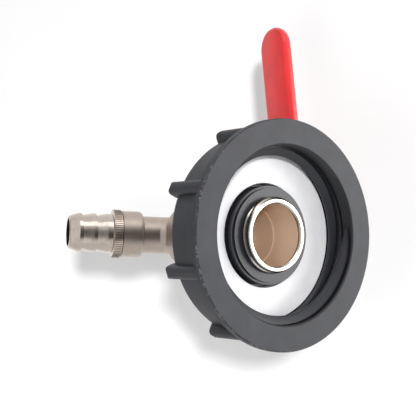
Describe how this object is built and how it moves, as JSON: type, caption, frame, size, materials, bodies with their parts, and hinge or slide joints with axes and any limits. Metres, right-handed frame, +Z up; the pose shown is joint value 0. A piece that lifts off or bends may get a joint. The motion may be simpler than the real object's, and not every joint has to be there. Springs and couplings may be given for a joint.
{
  "type": "ibc tap adapter",
  "caption": "Screw cap for a coarse tank thread with a white sealing washer, carrying a nickel plated lever ball tap with a bent spout and a barbed hose nozzle.",
  "frame": {"origin": "centre of the cap's mouth, in the plane of the flange's face", "axes": "-Y out of the cap's mouth towards the tank, +X along the valve stem away from the spout, +Z up along the lever when the tap is shut"},
  "size_m": [0.0868, 0.0803, 0.1263],
  "materials": {
    "cap_plastic": "moulded, satin, slightly scuffed",
    "white_washer": "smooth matt",
    "black_rubber": "matt",
    "nickel_brass": "cast and blasted, nickel plated, satin",
    "turned_nickel": "turned, nickel plated, bright",
    "bare_brass": "turned",
    "chromed_ball": "chrome plated, polished",
    "ptfe": "waxy",
    "zinc_steel": "zinc plated",
    "red_vinyl": "dipped vinyl, satin gloss"
  },
  "bodies": {
    "tap": {"cap": "cap_plastic", "face_washer": "white_washer", "cap_gasket": "black_rubber", "inlet_tail": "nickel_brass", "tail_seal": "ptfe", "valve_body": "nickel_brass", "front_seat": "ptfe", "rear_seat": "ptfe", "stem_thrust_washer": "ptfe", "stem_packing": "ptfe", "gland_nut": "nickel_brass"},
    "handle": {"lever": "zinc_steel", "lever_grip": "red_vinyl", "lever_lock_washer": "zinc_steel", "lever_nut": "zinc_steel", "stem": "bare_brass", "ball": "chromed_ball"},
    "nozzle_ring": {"nozzle_o_ring": "black_rubber"},
    "nozzle": {"nozzle": "turned_nickel"}
  },
  "joints": [
    {"name": "lever_turn", "type": "hinge", "parent": "tap", "child": "handle", "pos_m": [0, 0.041, 0], "axis": [-1, 0, 0], "range_deg": [-10, 80]},
    {"name": "nozzle_travel", "type": "slide", "parent": "tap", "child": "nozzle_ring", "axis": [-0.9205, 0.3907, 0], "range_m": [0, 0.0054]},
    {"name": "nozzle_turn", "type": "hinge", "parent": "nozzle_ring", "child": "nozzle", "pos_m": [-0.02421, 0.06728, 0], "axis": [-0.9205, 0.3907, 0], "range_deg": [0, 1440]}
  ],
  "couplings": [
    {"joint": "nozzle_travel", "follows": "nozzle_turn", "m_per_rad": 0.00021279}
  ]
}
